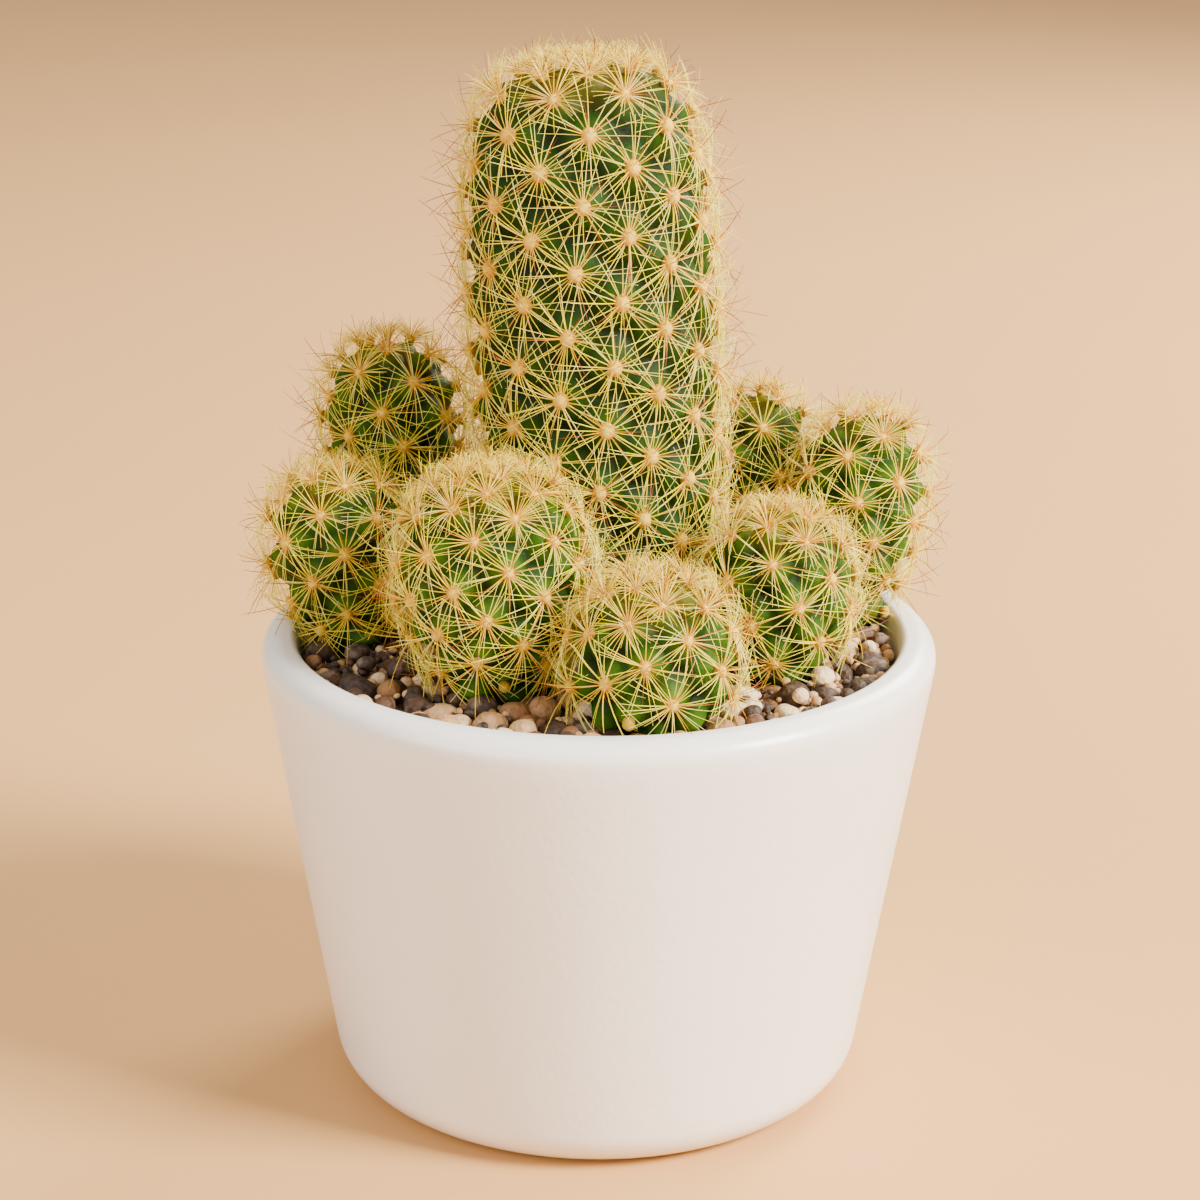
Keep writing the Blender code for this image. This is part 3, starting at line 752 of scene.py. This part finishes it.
wool, tree, shader = new_finish("areole_wool", 0.9, {"Sheen Weight": 0.06})
felt = ramp(tree, carried(tree, "along"), FELT)
felt = blend(tree, stretch(tree, carried(tree, "age"), 0.0, 1.0, 0.0, 0.35), felt, OLD_FELT)
feed(tree, shader.inputs["Base Color"], felt)
bump(tree, shader, grain(tree, 6000.0, 4.0), strength=0.7, depth=0.0003)
cushions = dome_tree()
bristles = bristle_tree()
for name in STEMS:
    radius = MAIN_WOOL_RADIUS_M if name == "main_stem" else OFFSET_WOOL_RADIUS_M
    pads = grown(name + "_wool", seeds(name, LOWEST_WOOL), cushions, wool, {"Radius": radius})
    dress(pads, wool, name)
    hairs = grown(name + "_wool_nap", seeds(name, LOWEST_WOOL), bristles, wool, NAP)
    dress(hairs, wool, name)

# Radial spines
# Over twenty thin pale yellow spines round each areole, nearly flat to the stem and curved back,
# so that they lace together like a net. They stand up and turn golden towards the crown.

LOWEST_RADIAL = 55.2
LOWEST_TUFT = 56.0
TUFT_CROWN = 0.25
NET = {
    "Count": 25, "Length": 0.0068, "Thickness": 0.000068, "Curl": 0.22, "Lift": 0.25,
    "Crown lift": 0.85, "Spread": 0.18, "Foot": 0.0007, "Seed": 7,
}
OFFSET_NET = {**NET, "Length": 0.0058, "Lift": 0.28}
TUFT = {
    "Count": 28, "Length": 0.0052, "Thickness": 0.00007, "Curl": 0.3, "Lift": 0.5,
    "Crown lift": 1.0, "Spread": 0.3, "Foot": 0.0004, "Seed": 8,
}
# Colours from a spine's foot to its tip, low on the stem and at the crown.
PALE_STRAW = ((0.0, (0.84, 0.4, 0.003)), (0.25, (0.98, 0.76, 0.02)), (1.0, (1.0, 0.96, 0.12)))
GOLDEN_STRAW = ((0.0, (0.6, 0.26, 0.001)), (0.4, (0.86, 0.52, 0.002)), (1.0, (0.96, 0.76, 0.006)))
BLEACHED_STRAW = (1.0, 0.96, 0.42)

straw, tree, shader = new_finish("straw_spines", 0.42, {"Specular IOR Level": 0.3})
pale = ramp(tree, carried(tree, "along"), PALE_STRAW)
golden = ramp(tree, carried(tree, "along"), GOLDEN_STRAW)
hue = blend(tree, stretch(tree, carried(tree, "crown"), 0.05, 0.45), pale, golden)
bleached = stretch(tree, carried(tree, "tone"), 0.55, 1.0, 0.0, 0.6)
feed(tree, shader.inputs["Base Color"], blend(tree, bleached, hue, BLEACHED_STRAW))
bump(tree, shader, grain(tree, 4000.0, 2.0), strength=0.2, depth=0.0001)
for name in STEMS:
    net = NET if name == "main_stem" else OFFSET_NET
    spines = grown(name + "_spines", seeds(name, LOWEST_RADIAL), bristles, straw, net)
    dress(spines, straw, name)
    crown_seeds = seeds(name, LOWEST_TUFT, TUFT_CROWN)
    crown_spines = grown(name + "_crown_spines", crown_seeds, bristles, straw, TUFT)
    dress(crown_spines, straw, name)

# Central spines
# A few stiffer spines stand out from each areole, straw at the foot, and most of them reddish
# brown at the tip. They rise further at the crowns and make the fuzzy outline.

LOWEST_CENTRAL = 56.0
CENTRAL = {
    "Count": 6, "Length": 0.0062, "Thickness": 0.000085, "Curl": 0.2, "Lift": 0.85,
    "Crown lift": 1.15, "Spread": 0.35, "Foot": 0.0002, "Seed": 9,
}
BROWN_TIPPED = (
    (0.0, (0.8, 0.4, 0.005)), (0.35, (0.66, 0.24, 0.004)),
    (0.65, (0.26, 0.05, 0.002)), (1.0, (0.07, 0.01, 0.002)),
)
PLAIN = ((0.0, (0.8, 0.42, 0.005)), (1.0, (1.0, 0.68, 0.02)))

brown, tree, shader = new_finish("brown_tipped_spines", 0.45)
tipped = ramp(tree, carried(tree, "along"), BROWN_TIPPED)
plain = ramp(tree, carried(tree, "along"), PLAIN)
is_plain = stretch(tree, carried(tree, "tone"), 0.68, 0.78)
feed(tree, shader.inputs["Base Color"], blend(tree, is_plain, tipped, plain))
bump(tree, shader, grain(tree, 4000.0, 2.0), strength=0.2, depth=0.0001)
for name in STEMS:
    centrals = grown(name + "_central_spines", seeds(name, LOWEST_CENTRAL), bristles, brown, CENTRAL)
    dress(centrals, brown, name)

# Pebbles
# A top dressing of river pebbles, cream, ochre, brown and dark grey, one or two layers deep on
# a bed of grit. They lie loose against the stems and just below the lip of the pot.

BED_TOP = 51.6
BED_BOTTOM = 49.4
BED_WALL_GAP = 0.35
BED_RINGS = 60
BED_SEGMENTS = 120
BED_WAVE = 0.25
# Stones keep inside the pot's wall as it is at this height, by this gap. A stone's centre lies the
# first share of its radius below its top, and at least the second share off a stem.
STONE_LEVEL = 53.0
STONE_WALL_GAP = 0.3
STONE_DEPTH = 0.8
STONE_STEM_GAP = 0.75
# Tries, smallest and largest radius, lowest and highest top, random seed, share of full spacing.
PEBBLES = (5200, 1.05, 2.15, (53.0, 54.75), 11, 0.84)
CHIPS = (2200, 0.4, 0.85, (52.2, 53.6), 12, 0.6)
PEBBLE_SHAPE_SEED = 21
CHIP_SHAPE_SEED = 22
# Ranges of a stone's length, width and height, as shares of its radius.
STONE_SHAPE = ((0.95, 1.12), (0.75, 1.0), (0.68, 0.9))
# Largest turn in radians, and its share about each axis.
STONE_TURN = 3.1
STONE_TILT = (0.12, 0.12, 1.0)
PEBBLE_TONES = (
    (0.0, (0.022, 0.013, 0.01)), (0.34, (0.05, 0.026, 0.017)), (0.46, (0.14, 0.055, 0.018)),
    (0.6, (0.32, 0.15, 0.05)), (0.72, (0.56, 0.32, 0.13)), (0.86, (0.76, 0.5, 0.26)),
    (1.0, (0.92, 0.7, 0.44)),
)
SPECK = (0.16, 0.085, 0.045)
LIGHT_VEIN = (0.6, 0.44, 0.3)
GRIT = ((0.35, (0.05, 0.033, 0.022)), (0.7, (0.22, 0.15, 0.1)))


def lying(tries, smallest, largest, tops, seed, apart):
    """Centres and radii of stones that lie clear of each other, the stems and the pot's wall."""
    draw = np.random.default_rng(seed)
    spots = np.empty((0, 4))
    for attempt in range(tries):
        least = smallest if attempt > tries / 4 else (smallest + largest) / 2
        radius = draw.uniform(least, largest)
        reach = (inner_radius(STONE_LEVEL) - radius - STONE_WALL_GAP) * math.sqrt(draw.random())
        turn = draw.uniform(0, 2 * math.pi)
        z = draw.uniform(*tops) - radius * STONE_DEPTH
        here = np.array((reach * math.cos(turn), reach * math.sin(turn), z, radius))
        gaps = np.linalg.norm(spots[:, :3] - here[:3], axis=1)
        if (gaps < apart * (spots[:, 3] + radius)).any():
            continue
        least_gap = radius * STONE_STEM_GAP
        if any(stem.clearance(here[None, :3])[0] < least_gap for stem in STEMS.values()):
            continue
        spots = np.vstack([spots, here])
    return spots


def stone_seeds(name, spots, seed):
    """A mesh of loose points, one a stone, that carries each stone's size, tone, turn and shape."""
    draw = np.random.default_rng(seed)
    count = len(spots)
    mesh = bpy.data.meshes.new(name)
    mesh.from_pydata([tuple(p) for p in spots[:, :3] * MM], [], [])
    set_values(mesh, "radius_m", spots[:, 3] * MM)
    set_values(mesh, "tone", draw.uniform(0, 1, count))
    spin = draw.uniform(-STONE_TURN, STONE_TURN, (count, 3)) * STONE_TILT
    set_values(mesh, "spin", spin, "FLOAT_VECTOR")
    shape = [draw.uniform(low, high, count) for low, high in STONE_SHAPE]
    set_values(mesh, "shape", np.stack(shape, 1), "FLOAT_VECTOR")
    return mesh


def stone_tree():
    """A worn stone on each point, of its own shape and tone."""
    inputs = {"Fineness": "Int", "Wear": "Float", "Finish": "Material"}
    tree, given, result = new_tree("worn_stones", inputs)
    round_stone = {"Radius": 1.0, "Subdivisions": given["Fineness"]}
    ball = add(tree, "GeometryNodeMeshIcoSphere", round_stone).outputs[0]
    radius = named(tree, "radius_m")
    sizes = {0: named(tree, "shape", "FLOAT_VECTOR"), "Scale": radius}
    scale = add(tree, "ShaderNodeVectorMath", sizes, operation="SCALE").outputs[0]
    spin = named(tree, "spin", "FLOAT_VECTOR")
    facing = add(tree, "FunctionNodeEulerToRotation", {0: spin}).outputs[0]
    real = on_points(tree, given["Geometry"], ball, facing, scale)
    depth = math_node(tree, "MULTIPLY", given["Wear"], radius)
    worn = lumpy(tree, real, waves=330.0, detail=1.5, level=0.55, depth=depth)
    end_tree(tree, worn, given, result)
    return tree


stone, tree, shader = new_finish("river_pebbles", 0.62)
mixed = ramp(tree, carried(tree, "tone"), PEBBLE_TONES)
speckled = math_node(tree, "MULTIPLY", stretch(tree, grain(tree, 1500.0, 5.0), 0.4, 0.7), 0.4)
mixed = blend(tree, speckled, mixed, SPECK)
veined = stretch(tree, grain(tree, 420.0, 4.0), 0.58, 0.66, 0.0, 0.22)
feed(tree, shader.inputs["Base Color"], blend(tree, veined, mixed, LIGHT_VEIN))
worn = stretch(tree, grain(tree, 500.0, 2.0), 0.3, 0.7, 0.5, 0.8)
feed(tree, shader.inputs["Roughness"], worn)
where = add(tree, "ShaderNodeTexCoord").outputs["Object"]
pores = add(tree, "ShaderNodeTexVoronoi", {"Vector": where, "Scale": 1700.0}).outputs[0]
pitted = math_node(tree, "ADD", pores, grain(tree, 2200.0, 4.0))
bump(tree, shader, pitted, strength=0.45, depth=0.0003)

grit, tree, shader = new_finish("dark_grit", 0.9)
feed(tree, shader.inputs["Base Color"], ramp(tree, grain(tree, 900.0, 5.0), GRIT))
bump(tree, shader, grain(tree, 1200.0, 5.0), strength=0.9, depth=0.0008)

bed_radii = np.linspace(0, inner_radius(BED_TOP) - BED_WALL_GAP, BED_RINGS)[1:]
bed_profile = [
    (0.0, BED_TOP),
    *[(r, BED_TOP + BED_WAVE * math.sin(r * 2.2)) for r in bed_radii],
    (inner_radius(BED_BOTTOM) - BED_WALL_GAP, BED_BOTTOM),
    (0.0, BED_BOTTOM),
]
dress(turned("gravel_bed", bed_profile, BED_SEGMENTS), grit, "gravel", "gravel")
stones = stone_tree()
pebble_seeds = stone_seeds("gravel_pebbles", lying(*PEBBLES), PEBBLE_SHAPE_SEED)
pebbles = grown("gravel_pebbles", pebble_seeds, stones, stone, {"Fineness": 3, "Wear": 0.55})
dress(pebbles, stone, "gravel")
chip_seeds = stone_seeds("gravel_chips", lying(*CHIPS), CHIP_SHAPE_SEED)
chips = grown("gravel_chips", chip_seeds, stones, stone, {"Fineness": 2, "Wear": 0.6})
dress(chips, stone, "gravel")

# Floor and light
# A plain pale warm table, a large soft key from the right front, a rim light from behind on the
# right and a wide weak fill, as in a small studio.

TABLE = ((0.3, (0.62, 0.335, 0.115)), (0.7, (0.635, 0.347, 0.122)))
TABLE_CORNERS = ((-3000, -2000, 0), (3000, -2000, 0), (3000, 4000, 0), (-3000, 4000, 0))
ROOM_COLOUR = (1.0, 0.95, 0.89)
ROOM_STRENGTH = 0.68

floor = mesh_object("floor", TABLE_CORNERS, [(0, 1, 2, 3)])
warm, tree, shader = new_finish("pale_table", 0.85)
feed(tree, shader.inputs["Base Color"], ramp(tree, grain(tree, 6.0, 2.0), TABLE))
bump(tree, shader, grain(tree, 500.0, 3.0), strength=0.03, depth=0.0002)
floor.data.materials.append(warm)


def soft_light(name, place, aim, width, watts, colour):
    """A square area light at a place, turned to a point; both in metres."""
    lamp = bpy.data.lights.new(name, "AREA")
    lamp.size = width
    lamp.energy = watts
    lamp.color = colour
    thing = bpy.data.objects.new(name, lamp)
    thing.location = place
    thing.rotation_euler = (Vector(aim) - Vector(place)).to_track_quat("-Z", "Y").to_euler()
    bpy.context.scene.collection.objects.link(thing)


plant_middle = (0, 0, 0.06)
plant_top = (0, 0, 0.08)
soft_light("key", (0.75, -0.35, 0.62), plant_middle, 0.34, 40.0, (1.0, 0.95, 0.86))
soft_light("rim", (0.42, 0.6, 0.5), plant_top, 0.35, 10.0, (1.0, 0.93, 0.8))
soft_light("fill", (-0.8, -0.7, 0.6), plant_middle, 0.9, 11.0, (1.0, 0.96, 0.92))
world = bpy.data.worlds.new("studio")
world.use_nodes = True
room = world.node_tree.nodes["Background"]
feed(world.node_tree, room.inputs["Color"], ROOM_COLOUR)
feed(world.node_tree, room.inputs["Strength"], ROOM_STRENGTH)
bpy.context.scene.world = world

# Camera
# A short telephoto about a third of a metre from the plant, looking down on it by 18 degrees
# and level to half a degree.

EYE_M = Vector((0.0, -0.32725, 0.16735))
AIM_M = Vector((0.00012, 0.0, 0.05856))
ROLL = 0.0068
# Millimetres, as the camera takes them.
FOCAL_LENGTH = 88.17
SENSOR_WIDTH = 36.0

ahead = (AIM_M - EYE_M).normalized()
right = ahead.cross(Vector((0, 0, 1))).normalized()
up = right.cross(ahead)
roll_cos = math.cos(ROLL)
roll_sin = math.sin(ROLL)
right, up = right * roll_cos + up * roll_sin, up * roll_cos - right * roll_sin
lens = bpy.data.cameras.new("camera")
lens.lens = FOCAL_LENGTH
lens.sensor_width = SENSOR_WIDTH
camera = bpy.data.objects.new("camera", lens)
camera.matrix_world = Matrix.Translation(EYE_M) @ Matrix((right, up, -ahead)).transposed().to_4x4()
bpy.context.scene.collection.objects.link(camera)
bpy.context.scene.camera = camera
